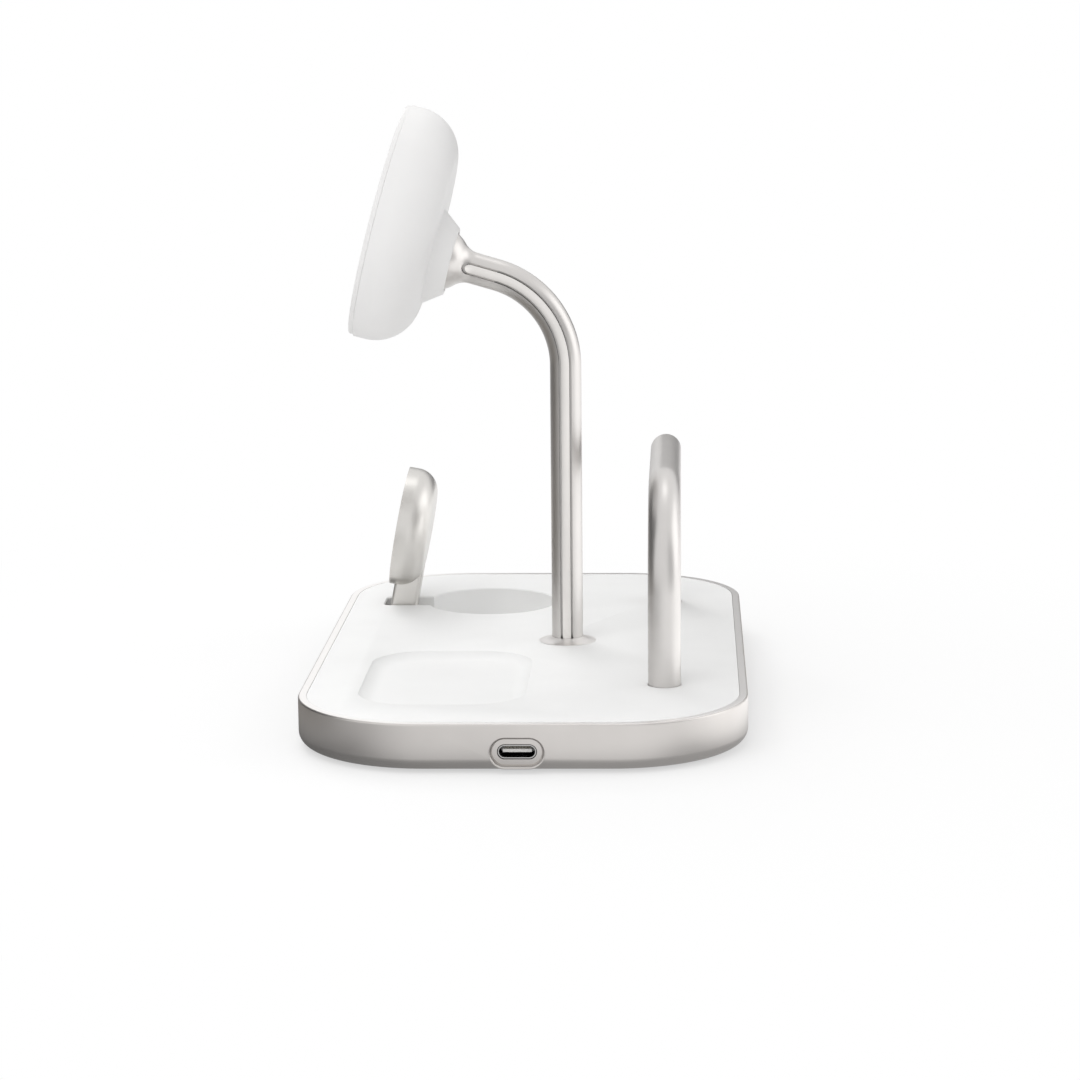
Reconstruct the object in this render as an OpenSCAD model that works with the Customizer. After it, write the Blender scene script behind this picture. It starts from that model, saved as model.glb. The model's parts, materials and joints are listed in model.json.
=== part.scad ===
// Desktop wireless charging stand: a low rounded base with a sunk earbud dish and a
// folding watch charger, a bent stem that carries a round phone pad on a ball joint,
// and a bent rod loop behind it that props up a tablet.
// +X is the end with the charging inlet, -Y the front that faces the user, +Z up.

/* [Base] */
// Length of the base from the inlet end to the far end
base_l = 180; // [150:1:220]
// Depth of the base from front to back
base_w = 108; // [90:1:132]
// Height of the base frame, without the feet
base_h = 11.2; // [11:0.1:14]
// Corner radius of the base in plan
corner_r = 32; // [24:1:40]
// Radius of the rounded lower edge of the frame
under_r = 3; // [1.5:0.1:3.4]
// Small radius on the upper outer edge of the frame
edge_r = 0.5; // [0.3:0.1:1]
// Width of the flat metal land round the top plate
land_w = 2; // [1.5:0.1:3]
// Thickness of the frame's wall below the top plate
wall_t = 5; // [4.2:0.1:7]
// Thickness of the top plate
plate_t = 2; // [1.6:0.1:2.4]
// Gap all round the top plate
plate_gap = 0.3; // [0.2:0.05:0.5]
// Height of the rubber feet below the frame
foot_h = 0.8; // [0.5:0.1:2]
// Radius of a rubber foot
foot_r = 6; // [4:0.5:8]

/* [Earbud dish] */
// Length of the earbud dish along the base
dish_l = 57.6; // [48:0.2:64]
// Depth of the earbud dish from front to back
dish_w = 40; // [34:0.2:44]
// Corner radius of the earbud dish
dish_r = 13; // [9:0.5:16]
// How far the dish is sunk into the top plate
dish_depth = 2; // [1.5:0.1:2.4]
// Radius of the hollow that joins the dish's floor to its rim
dish_hollow_r = 5; // [3:0.2:6]
// Distance from the inlet end of the base to the dish
dish_end_gap = 19.6; // [17:0.2:24]
// Distance from the front of the base to the dish
dish_front_gap = 14.4; // [12:0.2:18]

/* [Watch charger] */
// Diameter of the watch charging puck
watch_d = 32.4; // [28:0.2:39]
// Thickness of the puck
watch_t = 8.4; // [8:0.1:8.6]
// Distance from the puck's front face back to the plane of the hinge pin
watch_axis = 4.85; // [4.6:0.05:5.2]
// Radius of the puck's rounded back edge
watch_round = 6; // [3:0.2:6.5]
// Bare length of the arm between the hinge pin and the puck
arm_reach = 8.6; // [7.5:0.1:12]
// Width of the arm along the hinge pin
arm_w = 10; // [8:0.2:14]
// How far the upright puck leans back
watch_lean = 10.3; // [5:0.1:20]
// Radius of the hinge pin
pin_r = 1.25; // [1:0.05:1.5]
// Depth of the hinge pin's axis under the top plate's surface
pin_drop = 4; // [3.8:0.1:4.2]
// Distance from the front of the base to the hinge pin
pin_front_gap = 15.1; // [14:0.1:20]
// Distance from the far end of the base to the middle of the puck
watch_end_gap = 40; // [34:0.5:50]
// Gap between the folded puck and the well that it lies in
well_gap = 1.3; // [0.8:0.1:2]

/* [Stem] */
// Diameter of the stem
stem_d = 8; // [7:0.1:10]
// Distance from the back of the base to the stem
stem_back_gap = 45.6; // [40:0.2:52]
// Height of the straight part above the top plate
riser_h = 71.65; // [55:1:95]
// Radius of the stem's bend, at its centre line
bend_r = 24; // [18:0.5:34]
// Angle that the stem turns through
bend_a = 73.7398; // [65:0.0001:85]
// Straight length from the bend to the centre of the ball
neck_l = 15.5; // [13:0.1:20]
// Radius of the ball at the end of the stem
ball_r = 8; // [7:0.1:8.6]
// Radius of the hollow flare between the ball and the stem
flare_r = 5; // [3.5:0.1:6]
// Width of the groove along the side of the stem
groove_w = 3.2; // [2.6:0.1:3.8]
// Gap on each side of the strip in the groove
strip_gap = 0.55; // [0.3:0.05:0.7]
// Radius of the dished collar round the foot of the stem
collar_r = 7.35; // [6.5:0.05:10]
// Height of the collar where it meets the stem
collar_h = 1.25; // [0.8:0.05:2]

/* [Phone head] */
// How far the phone pad leans back from upright
head_lean = 15; // [5:1:25]
// Diameter of the phone pad
head_d = 60; // [54:0.5:72]
// Thickness of the phone pad
head_t = 15.5; // [15:0.1:17]
// Radius of the rounded back edge of the phone pad
head_round = 11.5; // [6:0.1:12]
// Distance from the middle of the pad down to the ball's axis
head_drop = 5.5; // [0:0.1:8]
// Radius of the boss where it leaves the back of the head
boss_base_r = 11.35; // [10.8:0.05:13]
// Radius of the open end of the boss
boss_end_r = 8.75; // [8.6:0.05:9.4]
// Length of the boss behind the head
boss_l = 4.9; // [4.4:0.1:6]
// How far the boss reaches behind the centre of the ball
ball_cover = 3.6; // [3.2:0.1:4]

/* [Tablet loop] */
// Diameter of the rod that the loop is bent from
loop_d = 8; // [6:0.1:10]
// Height of the top of the loop above the top plate
loop_h = 49.8; // [40:0.2:70]
// Radius of the loop's two bends, at the centre line
loop_bend_r = 24; // [14:0.5:30]
// Distance from each end of the base to a leg of the loop
leg_end_gap = 40.2; // [34:0.2:50]
// Distance from the back of the base to the legs
leg_back_gap = 20.2; // [17:0.2:26]

/* [Inlet] */
// Width of the recess round the inlet
recess_w = 12.8; // [11.5:0.1:14]
// Height of the recess round the inlet
recess_h = 7.2; // [6:0.1:7.4]
// Depth of the recess
recess_t = 1.2; // [0.8:0.1:1.6]
// Height of the inlet's centre above the frame's lower face
inlet_z = 4.4; // [4.2:0.1:4.6]

/* [Hidden] */
$fn = 64;
eps = 0.01;      // overlap that makes a cut run clean through a face
hair = 0.005;    // clearance of a piece that is pressed onto another
run = 0.05;      // radial clearance of pieces that turn or slide in each other
seat = 0.1;      // clearance between pieces that are fitted and don't move

// Heights, from the feet up
top_z = foot_h + base_h;
cover_t = 1.4;
cover_inset = 3.6;
cover_top = foot_h + cover_t;
chassis_t = 1.3;
chassis_z = cover_top + chassis_t;
plate_z = top_z - plate_t;
rim_break = 0.3;     // small chamfer on the rims in the top plate
pan_t = 1;           // thickness of the moulding below the dish and the well

// Frame, cover and their screws
cavity_l = base_l - 2 * wall_t;
cavity_w = base_w - 2 * wall_t;
cavity_r = corner_r - wall_t;
boss_r = 3;
boss_top = plate_z - 1.5;
boss_bite = 0.6;     // how far a screw boss merges into the frame's wall
screw_r = 1.2;
screw_head_r = 2.4;
screw_head_h = 1.1;
corner_reach = (cavity_r - boss_r + boss_bite) * cos(45);
screw_at = [
    for (sx = [-1, 1], sy = [-1, 1])
        [sx * (base_l / 2 - corner_r + corner_reach), sy * (base_w / 2 - corner_r + corner_reach)],
    for (sy = [-1, 1]) [0, sy * (cavity_w / 2 - boss_r + boss_bite)]
];
ballast_l = 34;
ballast_t = 3;
ballast_x0 = -23;
ballast_y0 = -cavity_w / 2 + 2 * boss_r + 1;
ballast_gap = 3.4;   // between the ballast plate and the stem's socket
foot_in = 28;        // distance of a foot from the ends of the base
foot_side = 24;      // distance of a foot from the sides of the base
foot_sunk = 0.6;
foot_at = [
    for (sx = [-1, 1], sy = [-1, 1]) [sx * (base_l / 2 - foot_in), sy * (base_w / 2 - foot_side)]
];

// Earbud dish
dish_x = base_l / 2 - dish_end_gap - dish_l / 2;
dish_y = -base_w / 2 + dish_front_gap + dish_w / 2;
dish_run = sqrt(pow(dish_hollow_r, 2) - pow(dish_hollow_r - dish_depth, 2));
pan_inset = 1.5;
dish_floor = top_z - dish_depth - pan_t;
coil_t = 0.9;
ferrite_t = 0.6;
ear_coil_r = dish_w / 2 - 2;
ear_coil_hole = 9;

// Watch charger, its hinge and its well
watch_r = watch_d / 2;
watch_x = -base_l / 2 + watch_end_gap;
pin_y = -base_w / 2 + pin_front_gap;
pin_z = top_z - pin_drop;
watch_up = arm_reach + watch_r;            // hinge pin to the middle of the puck
arm_half = watch_t - watch_axis;           // the arm is as deep behind the pin as before it
arm_shy = 0.05;                            // how far the arm stays below the puck's back
well_r = watch_r + well_gap;
well_y = pin_y + watch_up;
arm_clear = 0.45;                          // room under the arm and under the folded puck
well_floor = pin_z - arm_half - arm_clear;
arm_edge = 1;                              // rounding of the arm's long edges
slot_w = arm_w + 1.2;
slot_clear = 1.05;                         // room in front of the arm's round foot
slot_front = pin_y - arm_half - slot_clear;
slot_r = 1.5;
well_wall = 1.2;
face_r = watch_r - 1.3;
face_t = 1.2;
watch_cavity_r = watch_r - 2.6;
watch_cavity_t = 4.4;
watch_coil_r = watch_cavity_r - 0.5;
watch_coil_hole = 5.2;
watch_coil_t = 1.2;
magnet_r = 4.8;
magnet_t = 2.4;
dish_sphere_r = 60;   // radius of the hollow in the watch face
dish_sphere_t = 0.7;
block_l = 4.5;
block_w = 9;
block_drop = 6.4;
block_screw_r = 0.8;
block_screw_at = 3;                        // from the hinge pin to a block's screw
block_screw_in = 1.2;                      // how deep the screws go into the top plate
block_head_h = 1;
block_x = slot_w / 2 + well_wall + block_l / 2;
pin_half = block_x + block_l / 2 - 0.5;

// Stem, from its foot to its ball
stem_r = stem_d / 2;
stem_y = base_w / 2 - stem_back_gap;
bend_z = top_z + riser_h;
bend_y = stem_y - bend_r;
neck_at = [0, bend_y + bend_r * cos(bend_a), bend_z + bend_r * sin(bend_a)];
ball_at = neck_at + neck_l * [0, -sin(bend_a), cos(bend_a)];
flare_rho = stem_r + flare_r;
flare_z = sqrt(pow(ball_r + flare_r, 2) - pow(flare_rho, 2));
groove_x = 1.9;        // depth of the groove's floor from the stem's centre
channel_w = 2;
channel_x = -0.4;
strip_w = groove_w - 2 * strip_gap;
strip_sunk = 0.08;
strip_end = neck_l - flare_z + 1.2;     // where the strip stops along the neck
strip_foot = plate_z - 1.5;
lead_r = 0.8;
lead_short = 2;        // how far inside the ball's tip the lead stops
collar_edge = 0.12;    // thickness of the collar's outer edge
socket_r = 7;
socket_top = plate_z - 0.4;
ball_bore_r = 1.6;
stem_screw_r = 1.5;
stem_screw_l = 3.6;

// Loop
loop_r = loop_d / 2;
leg_x = base_l / 2 - leg_end_gap;
leg_y = base_w / 2 - leg_back_gap;
loop_axis_z = top_z + loop_h - loop_r;
leg_socket_r = loop_r + 2;
hole_gap = 0.15;

// Phone head, about the ball's centre: +Z out of its face, +Y up along it
head_r = head_d / 2;
face_z = head_t + boss_l - ball_cover;      // ball centre to the front face
back_z = face_z - head_t;
cover_r = head_r - 0.65;
head_cover_t = 1.3;
head_wall = 1.8;
pad_r = 26;
pad_sunk = 0.5;
pad_proud = 0.1;
magnet_out = 27;
magnet_in = 23.6;
magnet_gap_a = 2.5;
magnets = 16;
head_magnet_t = 1.6;
head_coil_r = 22;
head_coil_hole = 10;
head_coil_t = 1.1;
liner_t = 0.6;
liner_r = ball_r + run + liner_t;
cavity_ball_r = liner_r + run;
mouth_clear = 0.25;    // gap between the ball and the boss's open end
mouth_r = sqrt(pow(ball_r, 2) - pow(ball_cover, 2)) + mouth_clear;
lip_r = 0.85;          // rounding of the boss's open end
lip_a = 70;            // angle from the neck's axis at which the lip starts
ring_lo = -4;          // the friction ring spans these angles about the ball's equator
ring_hi = 14;
housing_r = boss_base_r - 0.15;
housing_z = face_z - 6.9;
cup_lo = 4.6;
cup_hi = 8.4;
cup_hole = 3.5;
spring_t = 0.6;
cap_t = 1.3;
cap_spigot = housing_z - cup_hi - spring_t;
cap_screw_r = 0.6;
cap_screw_at = (housing_r + cavity_ball_r) / 2;
board_t = 1;
head_board_z = face_z - 4.9;
head_board_r = 20.5;
post_at = 18.8;
post_r = 1.6;

// Inlet and main board
shell_w = 8.94;
shell_h = 3.26;
shell_l = 7.3;
shell_t = 0.3;
port_z = foot_h + inlet_z;
mouth_x = base_l / 2 - recess_t;
board_z = port_z + shell_h / 2;
board_x1 = cavity_l / 2 - 0.8;
board_x0 = 10;
board_y1 = leg_y - leg_socket_r - 1;
board_y0 = dish_y + dish_w / 2 + 2;
board_room = board_y1 - board_y0;
board_tail = 16;       // length of the part of the board that reaches over to the inlet
chip = 7;              // pitch of the parts on the board
chip_side = min(chip, board_room / 3);
chip_t = 1.4;
chip_in = min(5, board_room / 4);
can_r = min(2.5, board_room / 9);
can_in = min(7, board_room * 0.3);
can_t = 2.2;
pillar_r = 1.8;        // pillars that carry the board on the chassis
pillar_in = 4;
tongue_w = 6.7;
tongue_t = 0.7;
tongue_l = 4.6;
tongue_root = 1.4;

// Plane outlines

module rounded_rect(l, w, r) {
    square([l, w - 2 * r], center = true);
    square([l - 2 * r, w], center = true);
    for (sx = [-1, 1], sy = [-1, 1]) translate([sx * (l / 2 - r), sy * (w / 2 - r)]) circle(r);
}

module stadium(w, h) {
    square([w - h, h], center = true);
    for (s = [-1, 1]) translate([s * (w - h) / 2, 0]) circle(h / 2);
}

// Half of an upright section, from the axis out to r, with a round foot and a round top edge
module half_section(r, h, foot, top) {
    square([r - foot, foot + eps]);
    translate([r - foot, foot]) circle(foot);
    translate([0, foot]) square([r, h - foot - top]);
    translate([0, h - top - eps]) square([r - top, top + eps]);
    translate([r - top, h - top]) circle(top);
}

// Right half of the outline of the earbud dish, from its middle out to its rim at r
module dish_section(r) {
    inner = r - dish_run;
    intersection() {
        translate([0, -dish_depth]) square([r, dish_depth]);
        translate([inner, dish_hollow_r - dish_depth]) circle(dish_hollow_r);
    }
    translate([0, -dish_depth]) square([inner, dish_depth]);
    translate([0, -rim_break])
        polygon([[0, 0], [r - rim_break / 2, 0], [r + rim_break, rim_break], [0, rim_break]]);
    translate([0, -eps]) square([r + rim_break, 1]);
}

// A slab whose four sides all have one section: corners are turned, sides are drawn straight
module slab_of_section(l, w, r) {
    for (sx = [-1, 1], sy = [-1, 1])
        translate([sx * (l / 2 - r), sy * (w / 2 - r), 0]) rotate_extrude() children(0);
    for (a = [0, 180]) {
        rotate([0, 0, a]) translate([l / 2 - r, w / 2 - r, 0]) rotate([90, 0, 0])
            linear_extrude(w - 2 * r) side_section(l / 2 - r) children(0);
        rotate([0, 0, a + 90]) translate([w / 2 - r, l / 2 - r, 0]) rotate([90, 0, 0])
            linear_extrude(l - 2 * r) side_section(w / 2 - r) children(0);
    }
}

// A section with the slab's middle part, which reaches inward by the given length
module side_section(inward) {
    children(0);
    translate([-inward, 0]) intersection() {
        for (x = [0 : 1]) translate([x * inward, 0]) children(0);
        translate([0, -inward]) square([inward + eps, 2 * inward]);
    }
}

// Base

module frame_outside() {
    translate([0, 0, foot_h]) slab_of_section(base_l, base_w, corner_r)
        half_section(corner_r, base_h, under_r, edge_r);
}

module inlet_cut() {
    translate([base_l / 2, 0, port_z]) rotate([90, 0, 90]) {
        translate([0, 0, -recess_t]) linear_extrude(recess_t + 1)
            stadium(recess_w - 2 * rim_break, recess_h - 2 * rim_break);
        translate([0, 0, -rim_break - 0.2]) linear_extrude(2) stadium(recess_w, recess_h);
        translate([0, 0, -wall_t - 1]) linear_extrude(wall_t + 1)
            stadium(shell_w + 2 * seat, shell_h + 2 * seat);
    }
}

module base_frame() color("#c9c5c1") difference() {
    union() {
        difference() {
            frame_outside();
            translate([0, 0, plate_z]) linear_extrude(plate_t + 1)
                rounded_rect(base_l - 2 * land_w, base_w - 2 * land_w, corner_r - land_w);
            linear_extrude(top_z) rounded_rect(cavity_l, cavity_w, cavity_r);
            linear_extrude(cover_top) rounded_rect(base_l - 2 * cover_inset, base_w - 2 * cover_inset,
                corner_r - cover_inset);
        }
        for (p = screw_at) translate([p.x, p.y, chassis_z]) cylinder(r = boss_r, h = boss_top - chassis_z);
    }
    for (p = screw_at) translate([p.x, p.y, 0]) cylinder(r = screw_r + run, h = boss_top - 1);
    inlet_cut();
}

module well_outline(grow) {
    translate([watch_x, well_y]) circle(well_r + grow);
    translate([watch_x - slot_w / 2 - grow, slot_front + slot_r])
        square([slot_w + 2 * grow, well_y - slot_front - slot_r]);
    translate([watch_x - slot_w / 2 + slot_r, slot_front - grow])
        square([slot_w - 2 * slot_r, slot_r + 2 * grow]);
    for (s = [-1, 1])
        translate([watch_x + s * (slot_w / 2 - slot_r), slot_front + slot_r]) circle(slot_r + grow);
}

module top_plate() color("#f2f1ef") difference() {
    union() {
        translate([0, 0, plate_z]) linear_extrude(plate_t) rounded_rect(base_l - 2 * (land_w + plate_gap),
            base_w - 2 * (land_w + plate_gap), corner_r - land_w - plate_gap);
        translate([dish_x, dish_y, dish_floor]) linear_extrude(top_z - dish_floor - 1)
            rounded_rect(dish_l - 2 * pan_inset, dish_w - 2 * pan_inset, dish_r - pan_inset);
        translate([0, 0, well_floor - pan_t]) linear_extrude(plate_z - well_floor + pan_t + 1)
            well_outline(well_wall);
    }
    translate([dish_x, dish_y, top_z]) slab_of_section(dish_l, dish_w, dish_r) dish_section(dish_r);
    translate([0, 0, well_floor]) linear_extrude(top_z) well_outline(0);
    translate([watch_x, well_y, top_z - rim_break])
        cylinder(r1 = well_r, r2 = well_r + 2 * rim_break, h = 2 * rim_break);
    translate([0, stem_y, 0]) cylinder(r = stem_r + hole_gap, h = top_z + 1);
    for (s = [-1, 1]) translate([s * leg_x, leg_y, 0]) cylinder(r = loop_r + hole_gap, h = top_z + 1);
    translate([watch_x, pin_y, pin_z]) rotate([0, 90, 0])
        cylinder(r = pin_r + run, h = slot_w + 4 * well_wall, center = true);
    at_block_screws() cylinder(r = block_screw_r + run, h = block_drop + block_screw_in);
}

module bottom_cover() color("#5a5a5c") difference() {
    translate([0, 0, foot_h]) linear_extrude(cover_t) rounded_rect(base_l - 2 * (cover_inset + seat),
        base_w - 2 * (cover_inset + seat), corner_r - cover_inset - seat);
    for (p = foot_at) translate([p.x, p.y, foot_h - 1]) cylinder(r = foot_r + seat, h = 1 + foot_sunk);
    for (p = screw_at) translate([p.x, p.y, foot_h]) {
        translate([0, 0, -1]) cylinder(r = screw_r + seat, h = cover_t + 2);
        translate([0, 0, -1]) cylinder(r = screw_head_r + seat, h = 1 + screw_head_h);
    }
}

module rubber_feet() color("#2b2b2d")
    for (p = foot_at) translate([p.x, p.y, 0]) cylinder(r = foot_r, h = foot_h + foot_sunk);

module cover_screws() color("#8f9092")
    for (p = screw_at) translate([p.x, p.y, foot_h]) difference() {
        union() {
            cylinder(r = screw_head_r, h = screw_head_h);
            cylinder(r = screw_r, h = chassis_t + cover_t + 3);
        }
        translate([0, 0, -eps]) cylinder(r = 1, h = 0.6, $fn = 6);
    }

// Chassis and what is fixed to it

module chassis_plate() color("#a9abad") difference() {
    translate([0, 0, cover_top]) linear_extrude(chassis_t)
        rounded_rect(cavity_l - 2 * seat, cavity_w - 2 * seat, cavity_r - seat);
    linear_extrude(top_z) well_outline(well_wall + 0.4);
    for (p = screw_at) translate([p.x, p.y, 0]) cylinder(r = screw_r + seat, h = top_z);
    translate([0, stem_y, 0]) countersunk_hole();
    for (s = [-1, 1]) translate([s * leg_x, leg_y, 0]) countersunk_hole();
}

module countersunk_hole() {
    cylinder(r = stem_screw_r + run, h = top_z);
    translate([0, 0, cover_top - 1]) cylinder(r = 2 * stem_screw_r + run, h = 1 + chassis_t / 2);
}

// Screw that holds a rod down from under the chassis
module rod_screw() {
    translate([0, 0, cover_top]) cylinder(r = 2 * stem_screw_r, h = chassis_t / 2);
    translate([0, 0, cover_top]) cylinder(r = stem_screw_r, h = chassis_t + stem_screw_l);
}

module rod_socket(r, bore) difference() {
    translate([0, 0, chassis_z]) cylinder(r = r, h = socket_top - chassis_z);
    cylinder(r = bore, h = top_z);
}

module ballast_plate() color("#8c8d90") {
    translate([ballast_x0, ballast_y0, chassis_z])
        cube([ballast_l, stem_y - socket_r - ballast_gap - ballast_y0, ballast_t]);
}

module main_board() color("#2f6b45") {
    translate([board_x0, board_y0, board_z]) cube([board_x1 - board_x0, board_y1 - board_y0, board_t]);
    translate([board_x1 - board_tail, -shell_w, board_z]) cube([board_tail, board_y1 + shell_w, board_t]);
    for (i = [0 : 2])
        translate([board_x0 + chip + i * 2 * chip, board_y0 + chip_in, board_z - chip_t])
            cube([chip_side, chip_side, chip_t + eps]);
    for (i = [1 : 2])
        translate([board_x1 - i * chip, board_y1 - can_in, board_z - can_t])
            cylinder(r = can_r, h = can_t + eps);
    for (x = [board_x0 + pillar_in, board_x1 - pillar_in])
        translate([x, board_y1 - pillar_in, chassis_z]) cylinder(r = pillar_r, h = board_z - chassis_z + eps);
}

module inlet_shell() color("#b8b9bb") translate([mouth_x, 0, port_z]) rotate([90, 0, -90]) difference() {
    linear_extrude(shell_l) stadium(shell_w, shell_h);
    translate([0, 0, -1]) linear_extrude(shell_l) stadium(shell_w - 2 * shell_t, shell_h - 2 * shell_t);
}

module inlet_tongue() color("#202022") translate([mouth_x, 0, port_z]) rotate([90, 0, -90]) {
    root = shell_l - 1 - tongue_root;
    translate([0, 0, root]) linear_extrude(tongue_root)
        stadium(shell_w - 2 * shell_t, shell_h - 2 * shell_t);
    translate([-tongue_w / 2, -tongue_t / 2, root - tongue_l])
        cube([tongue_w, tongue_t, tongue_l + eps]);
}

module coil(r, hole, t) difference() {
    cylinder(r = r, h = t);
    translate([0, 0, -1]) cylinder(r = hole, h = t + 2);
}

module earbud_coil() color("#b87333") translate([dish_x, dish_y, dish_floor - coil_t])
    coil(ear_coil_r, ear_coil_hole, coil_t);

module earbud_ferrite() color("#3c3c40") translate([dish_x, dish_y, dish_floor - coil_t - ferrite_t])
    cylinder(r = ear_coil_r + 0.5, h = ferrite_t);

// Stem

// A rod or a bar of the stem's own path: turns its children, drawn as a section about
// the centre line, along the riser, the bend and the neck
module neck_frame() translate(neck_at) rotate([bend_a, 0, 0]) children();

module bend_frame() translate([0, bend_y, bend_z]) rotate([90, 0, 90]) children();

// A section turned through the bend, and ended exactly where the neck starts
module bend_part() intersection() {
    bend_frame() rotate_extrude(angle = 90) translate([bend_r, 0]) children();
    neck_frame() translate([-bend_r, -2 * bend_r, -2 * bend_r]) cube([2 * bend_r, 3 * bend_r, 2 * bend_r]);
}

module rod_path(r, from_z, to_neck) {
    translate([0, stem_y, from_z]) cylinder(r = r, h = bend_z - from_z);
    bend_part() circle(r);
    neck_frame() cylinder(r = r, h = to_neck);
}

// A flat band along the same path, w wide, from x0 outward, round at its upper end
module band_path(w, x0, from_z, to_neck) {
    out = 2 * ball_r;
    translate([x0, stem_y - w / 2, from_z]) cube([out, w, bend_z - from_z]);
    bend_part() translate([-w / 2, x0]) square([w, out]);
    neck_frame() {
        translate([x0, -w / 2, 0]) cube([out, w, to_neck]);
        translate([x0, 0, to_neck]) rotate([0, 90, 0]) cylinder(d = w, h = out);
    }
}

// The flare and the ball, turned about the neck's axis
module ball_and_flare(grow) neck_frame() rotate_extrude() intersection() {
    union() {
        translate([0, neck_l]) circle(ball_r + grow);
        difference() {
            square([flare_rho, neck_l]);
            translate([flare_rho, neck_l - flare_z]) circle(flare_r - grow);
            translate([stem_r + grow, -1]) square([ball_r, neck_l - flare_z + 1]);
            far = neck_l - flare_z * ball_r / (ball_r + flare_r);
            translate([0, far]) square([flare_rho, neck_l]);
        }
    }
    square([2 * ball_r, 2 * neck_l]);
}

module stem_outside(grow = 0) {
    rod_path(stem_r + grow, chassis_z, 1);
    ball_and_flare(grow);
}

module stem() color("#c4beb8") difference() {
    stem_outside();
    band_path(groove_w, groove_x, strip_foot, strip_end);
    band_path(channel_w, channel_x, strip_foot, strip_end - 2);
    neck_frame() translate([0, 0, strip_end - 3]) cylinder(r = ball_bore_r, h = neck_l + ball_r);
    translate([0, stem_y, 0]) cylinder(r = stem_screw_r + run, h = chassis_z + stem_screw_l + 0.4);
}

module stem_strip() color("#d8d2cc") intersection() {
    stem_outside(-strip_sunk);
    band_path(strip_w, groove_x + run, strip_foot, strip_end - strip_gap / 2);
}

module head_lead() color("#e6e6e6") {
    lead_x = (channel_x + groove_x) / 2;
    translate([lead_x, 0, 0]) rod_path(lead_r, strip_foot, neck_l + ball_r - lead_short);
}

module stem_collar() color("#b9b2aa") translate([0, stem_y, top_z]) rotate_extrude() difference() {
    translate([stem_r + run, 0]) square([collar_r - stem_r - run, collar_h]);
    span = collar_r - stem_r;
    r = (span * span + collar_h * collar_h) / (2 * collar_h);
    translate([collar_r, r + collar_edge]) circle(r, $fn = 160);
}

module stem_socket() color("#9a9c9f") translate([0, stem_y, 0]) rod_socket(socket_r, stem_r + run);

module stem_screw() color("#77797c") translate([0, stem_y, 0]) rod_screw();

// Tablet loop

module tablet_loop() color("#c8c1ba") {
    straight = leg_x - loop_bend_r;
    bend_start = loop_axis_z - loop_bend_r;
    difference() {
        for (s = [0, 1]) mirror([s, 0, 0]) translate([leg_x, leg_y, chassis_z])
            cylinder(r = loop_r, h = bend_start - chassis_z);
        for (s = [-1, 1]) translate([s * leg_x, leg_y, 0])
            cylinder(r = stem_screw_r + run, h = chassis_z + stem_screw_l + 0.4);
    }
    for (s = [0, 1]) mirror([s, 0, 0]) translate([straight, leg_y, bend_start]) rotate([90, 0, 0])
        rotate_extrude(angle = 90) translate([loop_bend_r, 0]) circle(loop_r);
    translate([-straight, leg_y, loop_axis_z]) rotate([0, 90, 0]) cylinder(r = loop_r, h = 2 * straight);
}

module leg_sockets() color("#9a9c9f")
    for (s = [-1, 1]) translate([s * leg_x, leg_y, 0]) rod_socket(leg_socket_r, loop_r + run);

module leg_screws() color("#77797c") for (s = [-1, 1]) translate([s * leg_x, leg_y, 0]) rod_screw();

// Watch charger: hinge pin along X at the origin, +Z up along the puck, +Y out of its back

module watch_frame() translate([watch_x, pin_y, pin_z]) rotate([-watch_lean, 0, 0]) children();

module puck_place() translate([0, -watch_axis, watch_up]) rotate([-90, 0, 0]) children();

module puck_frame() watch_frame() puck_place() children();

// Outline of the puck's half section, flat at its open front and rounded at its back
module puck_section() {
    square([watch_r - watch_round, watch_t]);
    square([watch_r, watch_t - watch_round]);
    translate([watch_r - watch_round, watch_t - watch_round]) intersection() {
        circle(watch_round);
        square(watch_round);
    }
}

module watch_housing() color("#c6c3be") watch_frame() difference() {
    union() {
        puck_place() rotate_extrude() puck_section();
        intersection() {
            translate([0, 0, -arm_half]) linear_extrude(arm_half + watch_up - watch_r + watch_round)
                rounded_rect(arm_w, 2 * (arm_half - arm_shy), arm_edge);
            union() {
                rotate([0, 90, 0]) cylinder(r = arm_half - arm_shy, h = arm_w + 2, center = true);
                translate([-arm_w, -arm_w, 0]) cube([2 * arm_w, 2 * arm_w, watch_up]);
            }
        }
    }
    puck_place() {
        translate([0, 0, -1]) cylinder(r = face_r + seat, h = 1 + face_t);
        cylinder(r = watch_cavity_r, h = face_t + watch_cavity_t);
    }
    rotate([0, 90, 0]) cylinder(r = pin_r + run, h = arm_w + 2, center = true);
}

module watch_face() color("#f4f4f2") puck_frame() difference() {
    cylinder(r = face_r, h = face_t);
    translate([0, 0, dish_sphere_t - dish_sphere_r]) sphere(dish_sphere_r, $fn = 96);
}

module watch_coil() color("#b87333") puck_frame() translate([0, 0, face_t])
    coil(watch_coil_r, watch_coil_hole, watch_coil_t);

module watch_magnet() color("#bfc1c4") puck_frame() translate([0, 0, face_t])
    cylinder(r = magnet_r, h = magnet_t);

module watch_ferrite() color("#3c3c40") puck_frame() translate([0, 0, face_t + watch_coil_t])
    coil(watch_coil_r, magnet_r + seat, ferrite_t);

module hinge_pin() color("#8f9194") translate([watch_x, pin_y, pin_z]) rotate([0, 90, 0])
    cylinder(r = pin_r, h = 2 * pin_half, center = true);

// Places its children at the four screws that hold the hinge blocks up to the top plate
module at_block_screws() {
    for (sx = [-1, 1], sy = [-1, 1])
        translate([watch_x + sx * block_x, pin_y + sy * block_screw_at, plate_z - block_drop]) children();
}

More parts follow.
